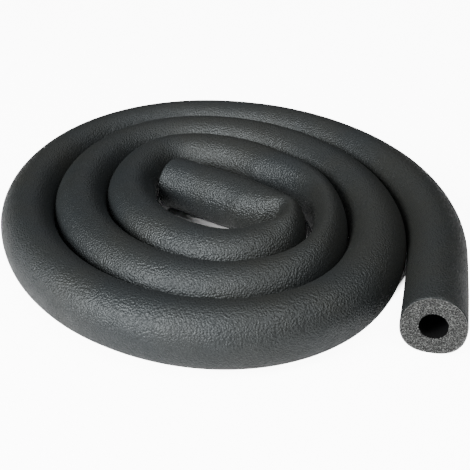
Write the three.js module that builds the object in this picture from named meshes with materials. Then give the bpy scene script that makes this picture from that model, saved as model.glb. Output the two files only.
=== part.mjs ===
// A 2 m length of foam pipe insulation, wound flat on itself.
// It is one extruded tube with a bore for the pipe. It lies as an open spiral: a short straight
// piece in the middle, a tight bend, then turns that lie side by side, and a tail that swings off.
// Lengths are in millimetres and angles in degrees. +Z is up and the coil lies on Z = 0.

import * as THREE from "three";

// The tube as it is extruded
const BORE = 15;
const WALL = 9.8;
const STOCK_LENGTH = 2000;
const OUTER = BORE + 2 * WALL;

// How the turns lie: neighbours press each other narrower, and this much air is left between them
const TURN_PRESS = 0.03; // share of the width, which the tail doesn't win back
const TURN_GAP = 0.6;
const PITCH = OUTER * (1 - TURN_PRESS) + TURN_GAP;

// Shape of the coil, in tube diameters, because a fatter tube winds to a wider coil.
// Bearings are those of a turn's outward side, and count up from the tail to the middle.
const COIL = {
  reach: 4.228, // from the coil's centre to the axis of the outermost turn, at bearing 0
  oval: 0.414, // how much further each turn reaches along its long way than on average
  longWay: 113.9, // bearing of the long way
  tailRadius: 50, // the tail is nearly straight
  tailBearing: -15, // where the tail leaves the spiral
  bendBearing: 989, // where the spiral passes into the tight bend
  bendRadius: 0.78,
  easeBearing: 1105, // where the bend opens out
  easeRadius: 2.5,
  straightBearing: 1132, // where the straight piece in the middle starts
  straight: 1.46,
};

// Where the tube is pressed narrow: the turn around the bend gives way on its inner side, twice,
// to the bend and to the inner end, and the bend itself folds. The loss of width grows and dies out
// between bearings.
const PRESSED = [
  { loss: 0.385, from: 636, full: 715, ease: 730, end: 765 },
  { loss: 0.07, from: 870, full: 905, ease: 935, end: 960 },
  { loss: 0.5, from: 1022, full: 1074, ease: 1088, end: 1125 },
];
const PRESSED_RISE = 0.15; // share of the lost width that is gained in height

// Fineness of the solid
const OUTER_SIDES = 24;
const BORE_SIDES = 12;
const STEP_ANGLE = 10;
const TAIL_STEP = 0.5;

const rad = THREE.MathUtils.degToRad;

// Unit vector that points out of a turn at a bearing, and the one along the tube, inwards.
function outward(bearing) {
  return new THREE.Vector2(Math.cos(rad(bearing)), Math.sin(rad(bearing)));
}
function along(bearing) {
  return new THREE.Vector2(-Math.sin(rad(bearing)), Math.cos(rad(bearing)));
}

// Axis of the oval spiral. Its support function falls by one pitch each turn, so the turns
// keep the same distance all the way round, and it swells twice a turn for the oval.
function spiralPoint(bearing) {
  const twice = 2 * rad(bearing - COIL.longWay);
  const swell = COIL.oval * OUTER;
  const reach = COIL.reach * OUTER - (PITCH * bearing) / 360 + swell * Math.cos(twice);
  const drift = -PITCH / (2 * Math.PI) - 2 * swell * Math.sin(twice);
  return outward(bearing).multiplyScalar(reach).addScaledVector(along(bearing), drift);
}

// Axis on a round bend that starts at a known point and bearing.
function bendPoint(start, startBearing, radius, bearing) {
  return start
    .clone()
    .addScaledVector(outward(startBearing), -radius)
    .addScaledVector(outward(bearing), radius);
}

const tailStart = spiralPoint(COIL.tailBearing);
const bendStart = spiralPoint(COIL.bendBearing);
const easeStart = bendPoint(bendStart, COIL.bendBearing, COIL.bendRadius * OUTER, COIL.easeBearing);
const straightStart = bendPoint(easeStart, COIL.easeBearing, COIL.easeRadius * OUTER, COIL.straightBearing);

// Axis of the wound tube at any bearing, from the tail to the end of the bend.
function axisPoint(bearing) {
  if (bearing < COIL.tailBearing) {
    return bendPoint(tailStart, COIL.tailBearing, COIL.tailRadius * OUTER, bearing);
  }
  if (bearing <= COIL.bendBearing) return spiralPoint(bearing);
  if (bearing <= COIL.easeBearing) {
    return bendPoint(bendStart, COIL.bendBearing, COIL.bendRadius * OUTER, bearing);
  }
  return bendPoint(easeStart, COIL.easeBearing, COIL.easeRadius * OUTER, bearing);
}

// Share of its width that the tube loses at a bearing.
function pressAt(bearing) {
  const { smoothstep } = THREE.MathUtils;
  const losses = PRESSED.map(({ loss, from, full, ease, end }) => {
    return loss * smoothstep(bearing, from, full) * (1 - smoothstep(bearing, ease, end));
  });
  return Math.max(TURN_PRESS, ...losses);
}

// An upright cut across the tube. Where the tube is pressed, its outward side keeps its place.
function station(axis, bearing) {
  const press = pressAt(bearing);
  const side = outward(bearing);
  const point = axis.clone().addScaledVector(side, (press * OUTER) / 2);
  return { point, side, width: 1 - press, height: 1 + PRESSED_RISE * press };
}

// Upright cuts across the tube, from the middle of the coil to the tail, for the whole length.
function stations() {
  const turn = COIL.straightBearing;
  const innerEnd = straightStart.clone().addScaledVector(along(turn), COIL.straight * OUTER);
  const cuts = [station(innerEnd, turn), station(straightStart, turn)];
  let left = STOCK_LENGTH - COIL.straight * OUTER;
  let bearing = turn;
  while (left > 0) {
    const before = bearing - COIL.tailBearing;
    const step = before > 0 ? Math.min(STEP_ANGLE, before) : TAIL_STEP;
    const here = axisPoint(bearing);
    const next = axisPoint(bearing - step);
    const span = here.distanceTo(next);
    const share = Math.min(1, left / span);
    bearing -= step * share;
    left -= span;
    cuts.push(station(axisPoint(bearing), bearing));
  }
  return cuts;
}

// Ring of points whose flats touch a circle, with one flat straight down.
function ring(diameter, sides) {
  const corner = diameter / 2 / Math.cos(Math.PI / sides);
  return Array.from({ length: sides }, (_, i) => {
    const angle = (2 * Math.PI * (i + 0.5)) / sides;
    return new THREE.Vector2(corner * Math.cos(angle), corner * Math.sin(angle));
  });
}

// The tube is extruded straight, one unit for each station, and then laid along the stations.
function tubeGeometry() {
  const cuts = stations();
  const section = new THREE.Shape(ring(OUTER, OUTER_SIDES));
  section.holes.push(new THREE.Path(ring(BORE, BORE_SIDES).reverse()));
  const steps = cuts.length - 1;
  const geometry = new THREE.ExtrudeGeometry(section, { depth: steps, steps, bevelEnabled: false });
  const vertices = geometry.getAttribute("position");
  for (let i = 0; i < vertices.count; i += 1) {
    const cut = cuts[Math.round(vertices.getZ(i))];
    const sideways = vertices.getX(i) * cut.width;
    const lift = (vertices.getY(i) + OUTER / 2) * cut.height;
    vertices.setXYZ(i, cut.point.x + cut.side.x * sideways, cut.point.y + cut.side.y * sideways, lift);
  }
  geometry.computeVertexNormals();
  return geometry;
}

const foam = new THREE.MeshStandardMaterial({ color: 0x2b3031, roughness: 0.55, metalness: 0 });

const foamTube = new THREE.Mesh(tubeGeometry(), foam);
foamTube.name = "foam_tube";

// The origin is under the middle of the coil's box
const box = new THREE.Box3().setFromObject(foamTube);
foamTube.position.set(-(box.min.x + box.max.x) / 2, -(box.min.y + box.max.y) / 2, 0);

const lagging = new THREE.Group();
lagging.add(foamTube);

export default lagging;
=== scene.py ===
"""Two metres of dark foam pipe lagging, wound flat on itself in an open oval spiral.

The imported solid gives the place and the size. This script lays a fine tube along the same route,
with a skin, a bore and two cut ends of open cells, and sets it on a white studio floor.
Lengths are in metres and bearings in degrees, unless a name says otherwise.
"""

import bisect
import logging
import math
from dataclasses import dataclass, field
from enum import Enum
from typing import Iterable

import bmesh
import bpy
from mathutils import Matrix, Vector, noise


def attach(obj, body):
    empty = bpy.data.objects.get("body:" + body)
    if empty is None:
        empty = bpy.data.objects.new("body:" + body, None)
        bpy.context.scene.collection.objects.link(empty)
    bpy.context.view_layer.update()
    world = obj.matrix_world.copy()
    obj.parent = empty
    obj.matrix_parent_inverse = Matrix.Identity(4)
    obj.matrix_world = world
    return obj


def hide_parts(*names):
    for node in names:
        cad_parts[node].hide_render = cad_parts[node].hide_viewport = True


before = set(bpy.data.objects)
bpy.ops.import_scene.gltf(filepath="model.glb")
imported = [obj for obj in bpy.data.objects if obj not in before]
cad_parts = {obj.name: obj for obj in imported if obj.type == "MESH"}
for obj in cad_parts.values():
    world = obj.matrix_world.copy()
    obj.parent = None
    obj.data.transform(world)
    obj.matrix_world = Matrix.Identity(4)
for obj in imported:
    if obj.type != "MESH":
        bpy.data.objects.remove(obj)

log = logging.getLogger("lagging")

Colour = tuple[float, float, float]
MM = 0.001
TOUCH = 0.001 * MM  # points and levels nearer than this are the same
WHITE = (1.0, 1.0, 1.0, 1.0)


class Surface(Enum):
    """The three surfaces of the tube, in the order of its material slots."""

    SKIN = 0
    CUT = 1
    BORE = 2


def smoothstep(value: float, low: float, high: float) -> float:
    """Rises smoothly from 0 at low to 1 at high.

    Args:
        value: where to read the step.
        low: where it starts to rise.
        high: where it has reached 1.

    Returns:
        A number from 0 to 1.
    """
    share = min(1.0, max(0.0, (value - low) / (high - low)))
    return share * share * (3.0 - 2.0 * share)


def outward(bearing: float) -> Vector:
    """Unit vector that points out of a turn at a bearing."""
    return Vector((math.cos(math.radians(bearing)), math.sin(math.radians(bearing))))


def along(bearing: float) -> Vector:
    """Unit vector along the tube at a bearing, towards the middle of the coil."""
    return Vector((-math.sin(math.radians(bearing)), math.cos(math.radians(bearing))))


@dataclass(frozen=True)
class Press:
    """A stretch where the tube is pressed narrow: the loss of width grows, holds and eases."""

    loss: float
    start: float
    full: float
    ease: float
    end: float

    def at(self, bearing: float) -> float:
        """Share of its width that the tube loses at a bearing.

        Args:
            bearing: bearing of the turn's outward side.

        Returns:
            The lost share, which is 0 outside the stretch.
        """
        grown = smoothstep(bearing, self.start, self.full)
        gone = smoothstep(bearing, self.ease, self.end)
        return self.loss * grown * (1.0 - gone)


@dataclass(frozen=True)
class Cut:
    """An upright cut across the tube: where its middle is, and how it is pressed."""

    point: Vector
    side: Vector
    width: float
    height: float


@dataclass(frozen=True)
class Stock:
    """The tube as it is extruded."""

    bore: float = 15 * MM
    wall: float = 9.8 * MM
    length: float = 2000 * MM

    @property
    def outer(self) -> float:
        """Outside diameter of the tube."""
        return self.bore + 2 * self.wall


@dataclass
class Route:
    """The line that the tube's axis follows on the floor, from the inner end to the tail.

    Sizes of the coil are in tube diameters, and bearings are those of a turn's outward side. They
    count up from the tail to the middle.
    """

    stock: Stock = field(default_factory=Stock)
    turn_press: float = 0.03
    turn_gap: float = 0.6 * MM
    reach: float = 4.228
    oval: float = 0.414
    long_way: float = 113.9
    tail_radius: float = 50.0
    tail_bearing: float = -15.0
    bend_bearing: float = 989.0
    bend_radius: float = 0.78
    ease_bearing: float = 1105.0
    ease_radius: float = 2.5
    straight_bearing: float = 1132.0
    straight: float = 1.46
    presses: tuple[Press, ...] = (
        Press(0.385, 636.0, 715.0, 730.0, 765.0),
        Press(0.07, 870.0, 905.0, 935.0, 960.0),
        Press(0.5, 1022.0, 1074.0, 1088.0, 1125.0),
    )
    press_rise: float = 0.15
    solid_step: float = 10.0
    solid_tail_step: float = 0.5
    fine_step: float = 0.5
    fine_tail_step: float = 0.05

    def __post_init__(self) -> None:
        """Works out the joins between the stretches, and the table of places along the tube."""
        outer = self.stock.outer
        self.tail_start = self._spiral(self.tail_bearing)
        self.bend_start = self._spiral(self.bend_bearing)
        self.ease_start = self._arc(
            self.bend_start, self.bend_bearing, self.bend_radius * outer, self.ease_bearing
        )
        self.straight_start = self._arc(
            self.ease_start, self.ease_bearing, self.ease_radius * outer, self.straight_bearing
        )
        self.shift = Vector((0.0, 0.0))
        solid_cuts, self.end_bearing = self._solid_cuts()
        self.shift = -self._middle(solid_cuts)
        self.places = self._fine_places()

    def _spiral(self, bearing: float) -> Vector:
        """Axis of the oval spiral, whose support function falls by one pitch each turn.

        Args:
            bearing: bearing of the turn's outward side.

        Returns:
            The point on the floor, before it is shifted to the origin.
        """
        outer = self.stock.outer
        pitch = outer * (1.0 - self.turn_press) + self.turn_gap
        swell = self.oval * outer
        twice = 2 * math.radians(bearing - self.long_way)
        reach = self.reach * outer - pitch * bearing / 360 + swell * math.cos(twice)
        drift = -pitch / (2 * math.pi) - 2 * swell * math.sin(twice)
        return outward(bearing) * reach + along(bearing) * drift

    def _arc(self, start: Vector, start_bearing: float, radius: float, bearing: float) -> Vector:
        """Axis on a round bend that starts at a known point and bearing."""
        return start - outward(start_bearing) * radius + outward(bearing) * radius

    def axis(self, bearing: float) -> Vector:
        """Axis of the wound tube at any bearing, from the tail to the end of the bend.

        Args:
            bearing: bearing of the turn's outward side.

        Returns:
            The point on the floor under the tube's middle, before it is shifted to the origin.
        """
        outer = self.stock.outer
        if bearing < self.tail_bearing:
            return self._arc(self.tail_start, self.tail_bearing, self.tail_radius * outer, bearing)
        if bearing <= self.bend_bearing:
            return self._spiral(bearing)
        if bearing <= self.ease_bearing:
            return self._arc(self.bend_start, self.bend_bearing, self.bend_radius * outer, bearing)
        return self._arc(self.ease_start, self.ease_bearing, self.ease_radius * outer, bearing)

    def cut(self, axis: Vector, bearing: float) -> Cut:
        """Upright cut at a point of the axis. A pressed tube keeps its outward side in place.

        Args:
            axis: point of the axis.
            bearing: bearing of the outward side there.

        Returns:
            The cut, in the shifted frame.
        """
        press = max(self.turn_press, *(each.at(bearing) for each in self.presses))
        side = outward(bearing)
        point = axis + side * (press * self.stock.outer / 2) + self.shift
        return Cut(point, side, 1.0 - press, 1.0 + self.press_rise * press)

    def _solid_cuts(self) -> tuple[list[Cut], float]:
        """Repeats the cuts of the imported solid, to find where its tail ends.

        Returns:
            The cuts, and the bearing of the last one.
        """
        turn = self.straight_bearing
        inner_end = self.straight_start + along(turn) * (self.straight * self.stock.outer)
        cuts = [self.cut(inner_end, turn), self.cut(self.straight_start, turn)]
        left = self.stock.length - self.straight * self.stock.outer
        bearing = turn
        while left > 0:
            before = bearing - self.tail_bearing
            step = min(self.solid_step, before) if before > 0 else self.solid_tail_step
            span = (self.axis(bearing) - self.axis(bearing - step)).length
            bearing -= step * min(1.0, left / span)
            left -= span
            cuts.append(self.cut(self.axis(bearing), bearing))
        return cuts, bearing

    def _middle(self, cuts: Iterable[Cut]) -> Vector:
        """Middle of the box around the tube on the floor.

        Args:
            cuts: the cuts of the solid.

        Returns:
            The point on the floor.
        """
        reach = self.stock.outer / 2
        sides = [(cut, way * cut.width * reach) for cut in cuts for way in (-1, 1)]
        edges = [cut.point + cut.side * offset for cut, offset in sides]
        xs = [edge.x for edge in edges]
        ys = [edge.y for edge in edges]
        return Vector(((min(xs) + max(xs)) / 2, (min(ys) + max(ys)) / 2))

    def _fine_places(self) -> list[tuple[float, Vector, float]]:
        """Follows the axis from the inner end, in close steps.

        Returns:
            The distance along the tube, the axis point and the bearing at each step.
        """
        turn = self.straight_bearing
        start = self.straight * self.stock.outer
        places = [(0.0, self.straight_start + along(turn) * start, turn)]
        places.append((start, self.straight_start, turn))
        for first, last, step in (
            (turn, self.tail_bearing, self.fine_step),
            (self.tail_bearing, self.end_bearing, self.fine_tail_step),
        ):
            steps = math.ceil((first - last) / step)
            for i in range(1, steps + 1):
                bearing = first + (last - first) * i / steps
                point = self.axis(bearing)
                places.append((places[-1][0] + (point - places[-1][1]).length, point, bearing))
        return places

    @property
    def length(self) -> float:
        """Length of the smooth axis."""
        return self.places[-1][0]

    def at(self, distance: float) -> Cut:
        """Upright cut at a distance from the inner end.

        Args:
            distance: distance along the axis.

        Returns:
            The cut there.
        """
        i = bisect.bisect_right(self.places, distance, key=lambda place: place[0])
        i = min(len(self.places) - 1, max(1, i))
        before, after = self.places[i - 1], self.places[i]
        share = (distance - before[0]) / (after[0] - before[0])
        bearing = before[2] + (after[2] - before[2]) * share
        return self.cut(before[1].lerp(after[1], share), bearing)


class NodeBench:
    """Adds nodes to a tree and links them, in reading order."""

    COLUMN_WIDTH = 180
    ROW_DROP = 60
    ROWS = 4
    MIX_COLOURS = (6, 7)
    MIX_RESULT = 2

    def __init__(self, tree: bpy.types.NodeTree) -> None:
        """Keeps the tree that is worked on."""
        self.tree = tree
        self.column = 0

    def add(self, kind: str, links: dict | None = None, **settings: object) -> bpy.types.Node:
        """Adds a node.

        Args:
            kind: node type, without its ShaderNode prefix.
            links: input name or number to a socket to link, or to a value to set.
            settings: attributes of the node.

        Returns:
            The new node.
        """
        node = self.tree.nodes.new("ShaderNode" + kind)
        node.location = (self.COLUMN_WIDTH * self.column, -self.ROW_DROP * (self.column % self.ROWS))
        self.column += 1
        for name, value in settings.items():
            setattr(node, name, value)
        for socket, value in (links or {}).items():
            self.put(node.inputs[socket], value)
        return node

    def put(self, socket: bpy.types.NodeSocket, value: object) -> None:
        """Links a socket to another one, or sets its value.

        Args:
            socket: the input socket.
            value: a socket to link, or the value to set.
        """
        if isinstance(value, bpy.types.NodeSocket):
            self.tree.links.new(value, socket)
        else:
            socket.default_value = value

    def ramp(self, mask: bpy.types.NodeSocket, low: float, high: float) -> bpy.types.NodeSocket:
        """Stretches a mask, from black at one value to white at another.

        Args:
            mask: the mask.
            low: where it is black.
            high: where it is white.

        Returns:
            The ramp's colour socket.
        """
        node = self.add("ValToRGB", {"Fac": mask})
        for element, position, grey in zip(node.color_ramp.elements, (low, high), (0.0, 1.0)):
            element.position = position
            element.color = (grey, grey, grey, 1.0)
        return node.outputs["Color"]

    def mix(self, share: object, first: object, second: object) -> bpy.types.NodeSocket:
        """Mixes two colours.

        Args:
            share: share of the second one.
            first: first colour or socket.
            second: second colour or socket.

        Returns:
            The mixed colour's socket.
        """
        low, high = self.MIX_COLOURS
        node = self.add("Mix", data_type="RGBA")
        self.put(node.inputs["Factor"], share)
        self.put(node.inputs[low], first)
        self.put(node.inputs[high], second)
        return node.outputs[self.MIX_RESULT]

    def math(self, operation: str, *values: object, clamp: bool = False) -> bpy.types.NodeSocket:
        """Does sums on numbers.

        Args:
            operation: the Math node's operation.
            values: numbers or sockets.
            clamp: whether the result is held from 0 to 1.

        Returns:
            The result's socket.
        """
        node = self.add("Math", operation=operation, use_clamp=clamp)
        for socket, value in zip(node.inputs, values):
            self.put(socket, value)
        return node.outputs[0]

    def distance(self, place: bpy.types.NodeSocket, middle: tuple) -> bpy.types.NodeSocket:
        """Distance of a place from a fixed point."""
        node = self.add("VectorMath", {0: place, 1: middle}, operation="DISTANCE")
        return node.outputs["Value"]

    def spread(self, value: bpy.types.NodeSocket, **ends: float) -> bpy.types.NodeSocket:
        """Spreads a value over a range.

        Args:
            value: the value, which is held between the two ends.
            ends: from_min, from_max, to_min and to_max, where they aren't 0 and 1.

        Returns:
            The result's socket.
        """
        named = {name.replace("_", " ").title(): end for name, end in ends.items()}
        return self.add("MapRange", {"Value": value, **named}).outputs["Result"]

    def bump(
        self, height: bpy.types.NodeSocket, strength: float, depth: float
    ) -> bpy.types.NodeSocket:
        """Turns a height into a bumped normal."""
        node = self.add("Bump", {"Height": height, "Strength": strength, "Distance": depth})
        return node.outputs["Normal"]


def opaque(colour: Colour) -> tuple[float, float, float, float]:
    """Gives a colour its full alpha."""
    return (*colour, 1.0)


def new_group(name: str, inputs: dict[str, tuple[str, object]], outputs: dict[str, str]) -> tuple:
    """Starts a shader node group with named sockets.

    Args:
        name: the group's name.
        inputs: socket name to its type and default.
        outputs: socket name to its type.

    Returns:
        The group, its input node and its output node.
    """
    group = bpy.data.node_groups.new(name, "ShaderNodeTree")
    for socket, (kind, default) in inputs.items():
        made = group.interface.new_socket(socket, in_out="INPUT", socket_type=kind)
        if default is not None:
            made.default_value = default
    for socket, kind in outputs.items():
        group.interface.new_socket(socket, in_out="OUTPUT", socket_type=kind)
    return group, group.nodes.new("NodeGroupInput"), group.nodes.new("NodeGroupOutput")


@dataclass(frozen=True)
class LeatherGrain:
    """Fine pebbled grain of a foam skin: small rounded cells with creases between them."""

    cells_per_metre: float = 800.0
    wander: float = 0.4 * MM
    wanders_per_metre: float = 420.0
    noise_middle: tuple[float, float, float] = (0.5, 0.5, 0.5)
    noise_detail: float = 2.0
    smoothness: float = 0.35
    crease_reach: tuple[float, float] = (0.35, 0.85)
    dome_share: float = 0.8
    uneven_share: float = 0.35

    def make(self) -> bpy.types.NodeTree:
        """Makes the node group.

        Returns:
            A group from a place and a cell size to a height and a mask of the creases.
        """
        group, given, result = new_group(
            "leather_grain",
            {
                "Place": ("NodeSocketVector", None),
                "Cells per metre": ("NodeSocketFloat", self.cells_per_metre),
                "Wander": ("NodeSocketFloat", self.wander),
            },
            {"Height": "NodeSocketFloat", "Creases": "NodeSocketFloat"},
        )
        bench = NodeBench(group)
        place, cells = given.outputs["Place"], given.outputs["Cells per metre"]
        moved = self._wandered(bench, place, given.outputs["Wander"])
        pebble = bench.add(
            "TexVoronoi",
            {"Vector": moved, "Scale": cells, "Smoothness": self.smoothness},
            feature="SMOOTH_F1",
        )
        uneven = bench.add(
            "TexNoise", {"Vector": moved, "Scale": cells, "Detail": self.noise_detail}
        )
        creases = bench.ramp(pebble.outputs["Distance"], *self.crease_reach)
        domes = bench.math("SUBTRACT", 1.0, pebble.outputs["Distance"])
        domes = bench.math("MULTIPLY", domes, self.dome_share)
        roughened = bench.math("MULTIPLY", uneven.outputs["Fac"], self.uneven_share)
        bench.put(result.inputs["Height"], bench.math("ADD", domes, roughened))
        bench.put(result.inputs["Creases"], creases)
        return group

    def _wandered(
        self, bench: NodeBench, place: bpy.types.NodeSocket, wander: bpy.types.NodeSocket
    ) -> bpy.types.NodeSocket:
        """Pushes each place a little aside, so that the cells aren't all alike.

        Args:
            bench: bench on the group's tree.
            place: the place.
            wander: how far it is pushed.

        Returns:
            The socket of the moved place.
        """
        pushes = bench.add(
            "TexNoise",
            {"Vector": place, "Scale": self.wanders_per_metre, "Detail": self.noise_detail},
        )
        centred = bench.add(
            "VectorMath", {0: pushes.outputs["Color"], 1: self.noise_middle}, operation="SUBTRACT"
        )
        pushed = bench.add(
            "VectorMath", {0: centred.outputs[0], "Scale": wander}, operation="SCALE"
        )
        return bench.add("VectorMath", {0: place, 1: pushed.outputs[0]}, operation="ADD").outputs[0]


@dataclass(frozen=True)
class ToneDrift:
    """Slow drift between a cool and a warm tone, with light smudges."""

    tone: Colour = (0.03, 0.03, 0.03)
    patches_per_metre: float = 14.0
    patch_detail: float = 3.0
    patch_roughness: float = 0.55
    patch_reach: tuple[float, float] = (0.38, 0.62)
    smudges_per_patch: float = 6.0
    smudge_detail: float = 5.0
    smudge_roughness: float = 0.65
    smudge_reach: tuple[float, float] = (0.42, 0.68)

    def make(self) -> bpy.types.NodeTree:
        """Makes the node group.

        Returns:
            A group from a place and two colours to a colour and a smudge mask.
        """
        group, given, result = new_group(
            "tone_drift",
            {
                "Place": ("NodeSocketVector", None),
                "Cool": ("NodeSocketColor", opaque(self.tone)),
                "Warm": ("NodeSocketColor", opaque(self.tone)),
                "Patches per metre": ("NodeSocketFloat", self.patches_per_metre),
            },
            {"Color": "NodeSocketColor", "Smudges": "NodeSocketFloat"},
        )
        bench = NodeBench(group)
        place, patches = given.outputs["Place"], given.outputs["Patches per metre"]
        slow = bench.add(
            "TexNoise",
            {
                "Vector": place,
                "Scale": patches,
                "Detail": self.patch_detail,
                "Roughness": self.patch_roughness,
            },
        )
        warmth = bench.ramp(slow.outputs["Fac"], *self.patch_reach)
        quick = bench.add(
            "TexNoise",
            {
                "Vector": place,
                "Scale": bench.math("MULTIPLY", patches, self.smudges_per_patch),
                "Detail": self.smudge_detail,
                "Roughness": self.smudge_roughness,
            },
        )
        smudges = bench.ramp(quick.outputs["Fac"], *self.smudge_reach)
        tone = bench.mix(warmth, given.outputs["Cool"], given.outputs["Warm"])
        bench.put(result.inputs["Color"], tone)
        bench.put(result.inputs["Smudges"], smudges)
        return group


@dataclass(frozen=True)
class SkinFinish:
    """The satin outer skin of the foam, with its leathery grain and painted shade in the grain's
    creases.
    """

    cool: Colour = (0.0080, 0.0104, 0.0115)
    warm: Colour = (0.0112, 0.0116, 0.0092)
    smudge: Colour = (0.0180, 0.0200, 0.0206)
    # painted shade: the dark colour laid into the grain's creases
    crease_shade: Colour = (0.0030, 0.0036, 0.0040)
    smudge_share: float = 0.30
    crease_shade_share: float = 0.45
    specular: float = 0.60
    specular_tint: Colour = (0.92, 0.98, 1.0)
    roughness: tuple[float, float] = (0.42, 0.50)
    crease_roughness: float = 0.08
    dull_roughness: float = 0.03
    shiny_middle: tuple[float, float, float] = (0.02, 0.05, 0.0)
    shiny_reach: tuple[float, float] = (0.09, 0.17)
    cells_per_metre: float = 930.0
    bump_strength: float = 1.0
    bump_distance: float = 0.50 * MM

    def make(self, grain: bpy.types.NodeTree, drift: bpy.types.NodeTree) -> bpy.types.Material:
        """Makes the material.

        Args:
            grain: the leather grain group.
            drift: the tone drift group.

        Returns:
            The material.
        """
        material, bench, shader = new_material("foam_skin")
        place = bench.add("TexCoord").outputs["Object"]
        tone = bench.add(
            "Group",
            {"Place": place, "Cool": opaque(self.cool), "Warm": opaque(self.warm)},
            node_tree=drift,
        )
        pebbles = bench.add(
            "Group", {"Place": place, "Cells per metre": self.cells_per_metre}, node_tree=grain
        )
        smudges, creases = tone.outputs["Smudges"], pebbles.outputs["Creases"]
        smudged = bench.math("MULTIPLY", smudges, self.smudge_share)
        colour = bench.mix(smudged, tone.outputs["Color"], opaque(self.smudge))
        # Painted shade: the grain's creases are darkened in the base colour.
        creased = bench.math("MULTIPLY", creases, self.crease_shade_share)
        bench.put(shader.inputs["Base Color"], bench.mix(creased, colour, opaque(self.crease_shade)))
        shader.inputs["Specular IOR Level"].default_value = self.specular
        shader.inputs["Specular Tint"].default_value = opaque(self.specular_tint)
        bench.put(shader.inputs["Roughness"], self._roughness(bench, place, smudges, creases))
        normal = bench.bump(pebbles.outputs["Height"], self.bump_strength, self.bump_distance)
        bench.put(shader.inputs["Normal"], normal)
        return material

    def _roughness(
        self,
        bench: NodeBench,
        place: bpy.types.NodeSocket,
        smudges: bpy.types.NodeSocket,
        creases: bpy.types.NodeSocket,
    ) -> bpy.types.NodeSocket:
        """Roughness of the skin: smoother on smudges, duller in creases and away from the middle.

        Args:
            bench: bench on the material's tree.
            place: the place.
            smudges: mask of the smudges.
            creases: mask of the creases.

        Returns:
            The roughness's socket.
        """
        smooth, rough = self.roughness
        near, far = self.shiny_reach
        satin = bench.spread(smudges, to_min=rough, to_max=smooth)
        away = bench.distance(place, self.shiny_middle)
        dull = bench.spread(away, from_min=near, from_max=far, to_max=self.dull_roughness)
        creased = bench.math("MULTIPLY", creases, self.crease_roughness)
        return bench.math("ADD", bench.math("ADD", satin, dull), creased, clamp=True)


@dataclass(frozen=True)
class CutFinish:
    """The cut end: open cells in grey foam, with painted shade in the pores, painted highlights on
    the cell walls and a painted highlight round the skin's edge.
    """

    # painted shade: the dark colour inside the open cells
    pore_shade: Colour = (0.0030, 0.0032, 0.0033)
    web: Colour = (0.0200, 0.0208, 0.0200)
    # painted highlight: the bright specks on the cell walls
    glint_highlight: Colour = (0.1900, 0.1950, 0.1880)
    # painted highlight: the pale ring along the skin's cut edge
    rim: Colour = (0.3000, 0.3050, 0.3000)
    skin_thickness: float = 0.8 * MM
    rim_blur: float = 0.3 * MM
    roughness: float = 0.72
    cells_per_metre: float = 1250.0
    web_reach: tuple[float, float] = (0.30, 0.62)
    grains_per_cell: float = 1.9
    grain_share: float = 0.3
    bump_strength: float = 0.8
    bump_distance: float = 0.5 * MM

    def make(self, outer: float, grain: bpy.types.NodeTree) -> bpy.types.Material:
        """Makes the material.

        Args:
            outer: outside diameter of the tube.
            grain: the leather grain group.

        Returns:
            The material.
        """
        material, bench, shader = new_material("foam_cut_cells")
        coordinates = bench.add("TexCoord")
        place = coordinates.outputs["Object"]
        across = bench.add("VectorMath", {0: coordinates.outputs["UV"]}, operation="LENGTH")
        radial = across.outputs["Value"]
        rim_start = outer / 2 - self.skin_thickness
        rim = bench.spread(radial, from_min=rim_start, from_max=rim_start + self.rim_blur)
        cells = bench.add(
            "TexVoronoi", {"Vector": place, "Scale": self.cells_per_metre}, feature="F1"
        )
        webs = bench.ramp(cells.outputs["Distance"], *self.web_reach)
        grains_per_metre = self.cells_per_metre * self.grains_per_cell
        fine = bench.add(
            "Group", {"Place": place, "Cells per metre": grains_per_metre}, node_tree=grain
        )
        # Painted shade: the pores get the dark colour, the cell walls the foam's grey.
        colour = bench.mix(webs, opaque(self.pore_shade), opaque(self.web))
        # Painted highlight: bright specks where the cell walls meet the fine grain's creases.
        glint_highlights = bench.math("MULTIPLY", webs, fine.outputs["Creases"])
        colour = bench.mix(glint_highlights, colour, opaque(self.glint_highlight))
        # Painted highlight: the pale ring along the skin's edge.
        bench.put(shader.inputs["Base Color"], bench.mix(rim, colour, opaque(self.rim)))
        shader.inputs["Roughness"].default_value = self.roughness
        grained = bench.math("MULTIPLY", fine.outputs["Height"], self.grain_share)
        height = bench.math("MAXIMUM", bench.math("ADD", webs, grained), rim)
        normal = bench.bump(height, self.bump_strength, self.bump_distance)
        bench.put(shader.inputs["Normal"], normal)
        return material


@dataclass(frozen=True)
class BoreFinish:
    """The inside of the bore: a duller skin, darkened with painted shade."""

    # painted shade: tones much darker than the outer skin's
    cool: Colour = (0.0012, 0.0014, 0.0018)
    warm: Colour = (0.0016, 0.0016, 0.0014)
    specular: float = 0.08
    roughness: float = 0.8
    cells_per_metre: float = 900.0
    bump_strength: float = 0.4
    bump_distance: float = 0.25 * MM

    def make(self, grain: bpy.types.NodeTree, drift: bpy.types.NodeTree) -> bpy.types.Material:
        """Makes the material.

        Args:
            grain: the leather grain group.
            drift: the tone drift group.

        Returns:
            The material.
        """
        material, bench, shader = new_material("foam_bore")
        place = bench.add("TexCoord").outputs["Object"]
        tone = bench.add(
            "Group",
            {"Place": place, "Cool": opaque(self.cool), "Warm": opaque(self.warm)},
            node_tree=drift,
        )
        pebbles = bench.add(
            "Group", {"Place": place, "Cells per metre": self.cells_per_metre}, node_tree=grain
        )
        # Painted shade: the dark tones stand for the shade inside the bore.
        bench.put(shader.inputs["Base Color"], tone.outputs["Color"])
        shader.inputs["Specular IOR Level"].default_value = self.specular
        shader.inputs["Roughness"].default_value = self.roughness
        normal = bench.bump(pebbles.outputs["Height"], self.bump_strength, self.bump_distance)
        bench.put(shader.inputs["Normal"], normal)
        return material


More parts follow.
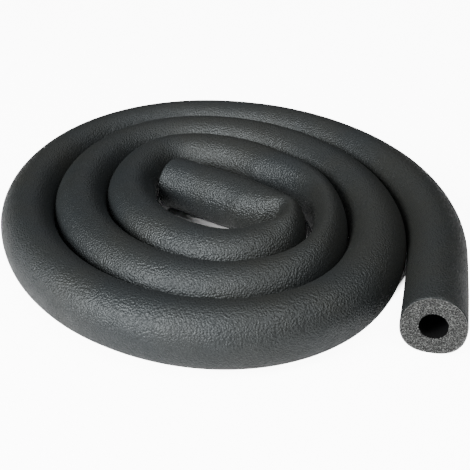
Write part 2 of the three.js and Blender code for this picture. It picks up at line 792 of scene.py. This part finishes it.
def new_material(name: str) -> tuple[bpy.types.Material, NodeBench, bpy.types.Node]:
    """Starts a node material.

    Args:
        name: the material's name.

    Returns:
        The material, a bench on its tree, and its Principled BSDF.
    """
    material = bpy.data.materials.new(name)
    material.use_nodes = True
    return material, NodeBench(material.node_tree), material.node_tree.nodes["Principled BSDF"]


@dataclass
class LaggingTube:
    """The foam tube: skin, bore and two cut ends, in one closed mesh."""

    route: Route
    skin_sides: int = 96
    bore_sides: int = 64
    face_sides: int = 192
    skin_spacing: float = 2.5 * MM
    bore_spacing: float = 11 * MM
    face_rings: int = 21
    rim_tolerance: float = 0.1 * MM
    cut_spacing: float = 0.01 * MM
    edge_round: float = 0.5 * MM
    edge_loops: tuple[float, ...] = (0.4, 1.0)
    skin_share: float = 0.99
    base_squareness: float = 2.5
    wave_height: float = 0.10 * MM
    wave_size: float = 38 * MM
    wave_falloff: float = 0.8
    wave_ratio: float = 2.0
    wave_octaves: int = 2
    peel_height: float = 0.03 * MM
    peel_size: float = 7 * MM
    relief_power: int = 4
    pore_depth: float = 0.45 * MM
    pore_size: float = 1.05 * MM
    pore_reach: tuple[float, float] = (0.15, 0.55)
    bore_lip: float = 0.5 * MM
    skin_thickness: float = 0.8 * MM

    @property
    def radius(self) -> float:
        """Outside radius of the tube."""
        return self.route.stock.outer / 2

    @property
    def bore_radius(self) -> float:
        """Radius of the bore."""
        return self.route.stock.bore / 2

    def build(self) -> bpy.types.Object:
        """Builds the tube straight, and lays it along its route.

        Returns:
            The finished piece, without materials.
        """
        bm = bmesh.new()
        self._wall(bm, self.radius, self.skin_sides, self.skin_spacing)
        for end in (0.0, self.route.length):
            self._round_edge_loops(bm, end)
        self._wall(bm, self.bore_radius, self.bore_sides, self.bore_spacing)
        for end in (0.0, self.route.length):
            self._cut_face(bm, end)
        bmesh.ops.remove_doubles(bm, verts=bm.verts[:], dist=TOUCH)
        bmesh.ops.recalc_face_normals(bm, faces=bm.faces[:])
        self._name_surfaces(bm)
        self._lay(bm)
        mesh = bpy.data.meshes.new("lagging_tube")
        bm.to_mesh(mesh)
        bm.free()
        piece = bpy.data.objects.new("lagging_tube", mesh)
        bpy.context.scene.collection.objects.link(piece)
        return piece

    def _wall(self, bm: bmesh.types.BMesh, radius: float, sides: int, spacing: float) -> None:
        """Adds a straight round wall, open at both ends, with rings at even spacing.

        Args:
            bm: the tube's mesh.
            radius: radius of the wall.
            sides: points around it.
            spacing: distance between its rings.
        """
        length = self.route.length
        made = bmesh.ops.create_cone(
            bm, cap_ends=False, segments=sides, radius1=radius, radius2=radius, depth=length
        )
        bmesh.ops.translate(bm, verts=made["verts"], vec=(0.0, 0.0, length / 2))
        lengthwise = [edge for edge in bm.edges if edge.calc_length() > length / 2]
        rings = round(length / spacing)
        bmesh.ops.subdivide_edges(bm, edges=lengthwise, cuts=rings - 1, use_grid_fill=True)

    def _round_edge_loops(self, bm: bmesh.types.BMesh, end: float) -> None:
        """Adds close loops by a cut end, where its edge is rounded.

        Args:
            bm: the tube's mesh.
            end: distance of the cut end along the tube.
        """
        inwards = 1.0 if end == 0.0 else -1.0
        for share in self.edge_loops:
            height = end + inwards * share * self.edge_round
            everything = bm.verts[:] + bm.edges[:] + bm.faces[:]
            bmesh.ops.bisect_plane(bm, geom=everything, plane_co=(0, 0, height), plane_no=(0, 0, 1))

    def _cut_face(self, bm: bmesh.types.BMesh, end: float) -> None:
        """Closes an end with a fine ring-shaped face, from the skin's rim to the bore's.

        Args:
            bm: the tube's mesh.
            end: distance of the cut end along the tube.
        """
        for radius, sides in ((self.bore_radius, self.bore_sides), (self.radius, self.skin_sides)):
            cuts = self.face_sides // sides - 1
            bmesh.ops.subdivide_edges(bm, edges=self._rim(bm, end, radius), cuts=cuts)
            rim = self._rim(bm, end, radius)
            self._set_radius({vert for edge in rim for vert in edge.verts}, radius)
        wall = self.radius - self.bore_radius
        for i in range(1, self.face_rings + 1):
            made = bmesh.ops.extrude_edge_only(bm, edges=rim)["geom"]
            edges = [item for item in made if isinstance(item, bmesh.types.BMEdge)]
            verts = [item for item in made if isinstance(item, bmesh.types.BMVert)]
            rim = [edge for edge in edges if edge.is_boundary]
            self._set_radius(verts, self.radius - wall * i / self.face_rings)

    def _set_radius(self, verts: Iterable[bmesh.types.BMVert], radius: float) -> None:
        """Moves points in or out to a radius."""
        for vert in verts:
            vert.co.xy = vert.co.xy.normalized() * radius

    def _rim(self, bm: bmesh.types.BMesh, end: float, radius: float) -> list[bmesh.types.BMEdge]:
        """Finds the open edges of a wall at an end.

        Args:
            bm: the tube's mesh.
            end: distance of the cut end along the tube.
            radius: radius of the wall.

        Returns:
            The edges.
        """
        found = []
        for edge in bm.edges:
            off_end = sum(abs(vert.co.z - end) for vert in edge.verts)
            off_wall = abs(edge.verts[0].co.xy.length - radius)
            if edge.is_boundary and off_end < TOUCH and off_wall < self.rim_tolerance:
                found.append(edge)
        return found

    def _name_surfaces(self, bm: bmesh.types.BMesh) -> None:
        """Gives each face its surface, and its corners their places across the section.

        Args:
            bm: the tube's mesh, still straight.
        """
        section = bm.loops.layers.uv.new("section")
        for face in bm.faces:
            face.smooth = True
            middle = face.calc_center_median()
            if max(abs(vert.co.z - middle.z) for vert in face.verts) < TOUCH:
                face.material_index = Surface.CUT.value
            elif middle.xy.length > (self.radius + self.bore_radius) / 2:
                face.material_index = Surface.SKIN.value
            else:
                face.material_index = Surface.BORE.value
            for loop in face.loops:
                loop[section].uv = loop.vert.co.xy

    def _edge_loss(self, from_end: float) -> float:
        """How far the skin's edge is rounded off, at a distance from the cut end."""
        share = max(0.0, 1.0 - from_end / self.edge_round)
        return self.edge_round * (1.0 - math.sqrt(max(0.0, 1.0 - share * share)))

    def _pit(self, spot: Vector, radial: float) -> float:
        """Depth of the open cells at a spot of a cut face.

        Args:
            spot: the spot on the straight tube.
            radial: its distance from the tube's middle.

        Returns:
            The depth, which is 0 at the skin and at the bore.
        """
        inside = smoothstep(self.radius - radial, self.skin_thickness, 2 * self.skin_thickness)
        inside *= smoothstep(radial - self.bore_radius, 0.0, self.bore_lip)
        nearest = noise.voronoi(spot / self.pore_size)[0][0]
        return self.pore_depth * inside * (1.0 - smoothstep(nearest, *self.pore_reach))

    def _relief(self, place: Vector) -> float:
        """Gentle waves and peel of the skin.

        Args:
            place: a place on the laid tube.

        Returns:
            How far the skin stands out there.
        """
        waves = noise.fractal(
            place / self.wave_size, self.wave_falloff, self.wave_ratio, self.wave_octaves
        )
        peel = noise.noise(place / self.peel_size)
        return self.wave_height * waves + self.peel_height * peel

    def _lay(self, bm: bmesh.types.BMesh) -> None:
        """Lays the straight tube along its route, vertex by vertex.

        Args:
            bm: the tube's mesh.
        """
        cuts: dict[int, Cut] = {}
        length = self.route.length
        for vert in bm.verts:
            across, up, distance = vert.co
            radial = math.hypot(across, up)
            from_end = min(distance, length - distance)
            share = radial / self.radius
            if share > self.skin_share:
                scale = 1.0 - self._edge_loss(from_end) / self.radius
                across *= scale
                up *= scale
            if from_end < TOUCH:
                pit = self._pit(Vector((across, up, distance)), radial)
                distance += pit if distance < length / 2 else -pit
            key = round(distance / self.cut_spacing)
            cut = cuts.get(key) or self.route.at(distance)
            cuts[key] = cut
            across, up = self._square_base(across, up, share)
            place = self._place(cut, across, up)
            grow = 1.0 + self._relief(place) * share**self.relief_power / self.radius
            place = self._place(cut, across * grow, up * grow)
            vert.co = (place.x, place.y, max(0.0, place.z))

    def _square_base(self, across: float, up: float, share: float) -> tuple[float, float]:
        """Squares the lower half of the section a little, as foam sits on a floor.

        Args:
            across: offset from the tube's middle, to the side.
            up: offset from the tube's middle, upwards.
            share: share of the outside radius, so that the bore is squared less than the skin.

        Returns:
            The two offsets, squared.
        """
        if up >= 0.0:
            return across, up
        power = self.base_squareness
        norm = (abs(across) ** power + abs(up) ** power) ** (1.0 / power)
        grow = 1.0 + (math.hypot(across, up) / norm - 1.0) * share
        return across * grow, up * grow

    def _place(self, cut: Cut, across: float, up: float) -> Vector:
        """Puts a point of the section in its place on the floor."""
        spot = cut.point + cut.side * (across * cut.width)
        return Vector((spot.x, spot.y, (up + self.radius) * cut.height))

    def dress(self, piece: bpy.types.Object) -> None:
        """Gives the piece its materials, in the order of its surfaces.

        Args:
            piece: the built tube.
        """
        grain = LeatherGrain().make()
        drift = ToneDrift().make()
        finishes = {
            Surface.SKIN: SkinFinish().make(grain, drift),
            Surface.CUT: CutFinish(skin_thickness=self.skin_thickness).make(2 * self.radius, grain),
            Surface.BORE: BoreFinish().make(grain, drift),
        }
        for surface in Surface:
            piece.data.materials.append(finishes[surface])


@dataclass(frozen=True)
class Softbox:
    """A flat studio light, which faces the middle of the floor."""

    name: str
    place: tuple[float, float, float]
    width: float
    depth: float
    radiance: float
    target: tuple[float, float, float] = (0.0, 0.0, 0.0)

    def add(self) -> None:
        """Adds the light to the scene."""
        data = bpy.data.lights.new(self.name, "AREA")
        data.shape = "RECTANGLE"
        data.size = self.width
        data.size_y = self.depth
        data.energy = self.radiance * math.pi * self.width * self.depth
        light = bpy.data.objects.new(self.name, data)
        light.location = self.place
        aim = Vector(self.target) - Vector(self.place)
        light.rotation_euler = aim.to_track_quat("-Z", "Y").to_euler()
        bpy.context.scene.collection.objects.link(light)


@dataclass
class Studio:
    """White floor, soft lights and the camera."""

    floor_size: float = 30.0
    floor_tone: float = 0.90
    floor_roughness: float = 0.9
    floor_glow: float = 10.0
    shade_middle: tuple[float, float, float] = (0.0, -8.5 * MM, 0.0)
    shade_reach: tuple[float, float] = (124.5 * MM, 128.5 * MM)
    sky_tone: float = 0.03
    softboxes: tuple[Softbox, ...] = (
        Softbox("left_softbox", (-0.87, -0.61, 0.75), 0.5, 0.5, 38.0),
        Softbox("right_softbox", (0.35, -0.42, 1.18), 0.5, 0.5, 14.0),
        Softbox("front_softbox", (-0.32, -1.18, 0.45), 0.5, 0.5, 7.0),
        Softbox("back_softbox", (0.0, 0.48, 0.58), 0.35, 0.35, 1.5),
    )
    camera_target: tuple[float, float, float] = (7.97 * MM, -16.21 * MM, 0.0)
    camera_distance: float = 480.1 * MM
    camera_depression: float = 31.166
    camera_roll: float = -2.493
    camera_lens: float = 55.93
    camera_sensor: float = 36.0
    camera_clip: float = 10 * MM

    def build(self) -> None:
        """Builds the floor, the lights and the camera."""
        self._floor()
        self._sky()
        for softbox in self.softboxes:
            softbox.add()
        self._camera()

    def _floor(self) -> None:
        """Lays a plain white floor, which glows for the camera outside the coil's shade."""
        bm = bmesh.new()
        bmesh.ops.create_grid(bm, x_segments=2, y_segments=2, size=self.floor_size / 2)
        mesh = bpy.data.meshes.new("studio_floor")
        bm.to_mesh(mesh)
        bm.free()
        material, bench, shader = new_material("studio_white")
        shader.inputs["Base Color"].default_value = (self.floor_tone,) * 3 + (1.0,)
        shader.inputs["Roughness"].default_value = self.floor_roughness
        shader.inputs["Emission Color"].default_value = WHITE
        near, far = self.shade_reach
        away = bench.distance(bench.add("TexCoord").outputs["Object"], self.shade_middle)
        lit = bench.spread(away, from_min=near, from_max=far)
        shown = bench.math("MULTIPLY", bench.add("LightPath").outputs["Is Camera Ray"], lit)
        glow = bench.math("MULTIPLY", shown, self.floor_glow)
        bench.put(shader.inputs["Emission Strength"], glow)
        mesh.materials.append(material)
        floor = bpy.data.objects.new("studio_floor", mesh)
        bpy.context.scene.collection.objects.link(floor)

    def _sky(self) -> None:
        """Gives the studio its even surrounding light."""
        world = bpy.data.worlds.new("studio")
        world.use_nodes = True
        background = world.node_tree.nodes["Background"]
        background.inputs["Color"].default_value = WHITE
        background.inputs["Strength"].default_value = self.sky_tone
        bpy.context.scene.world = world

    def _camera(self) -> None:
        """Sets the camera where the photograph was taken from."""
        down, roll = math.radians(self.camera_depression), math.radians(self.camera_roll)
        back = Vector((0.0, -math.cos(down), math.sin(down)))
        right = Vector((1.0, 0.0, 0.0))
        up = back.cross(right)
        rolled_right = right * math.cos(roll) + up * math.sin(roll)
        rolled_up = up * math.cos(roll) - right * math.sin(roll)
        data = bpy.data.cameras.new("camera")
        data.lens = self.camera_lens
        data.sensor_width = self.camera_sensor
        data.clip_start = self.camera_clip
        camera = bpy.data.objects.new("camera", data)
        turn = Matrix((rolled_right, rolled_up, back)).transposed().to_4x4()
        place = Vector(self.camera_target) + back * self.camera_distance
        camera.matrix_world = Matrix.Translation(place) @ turn
        bpy.context.scene.collection.objects.link(camera)
        bpy.context.scene.camera = camera


def main() -> None:
    """Builds the object and its studio, and reports each piece."""
    logging.basicConfig(level=logging.INFO, format="%(name)s: %(message)s")
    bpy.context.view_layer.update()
    tube = LaggingTube(Route())
    piece = tube.build()
    tube.dress(piece)
    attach(piece, "root")
    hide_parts("foam_tube")
    faces = len(piece.data.polygons)
    log.info("%s: %d faces, axis %.1f mm", piece.name, faces, tube.route.length / MM)
    Studio().build()
    bpy.context.view_layer.update()


if __name__ == "__main__":
    main()
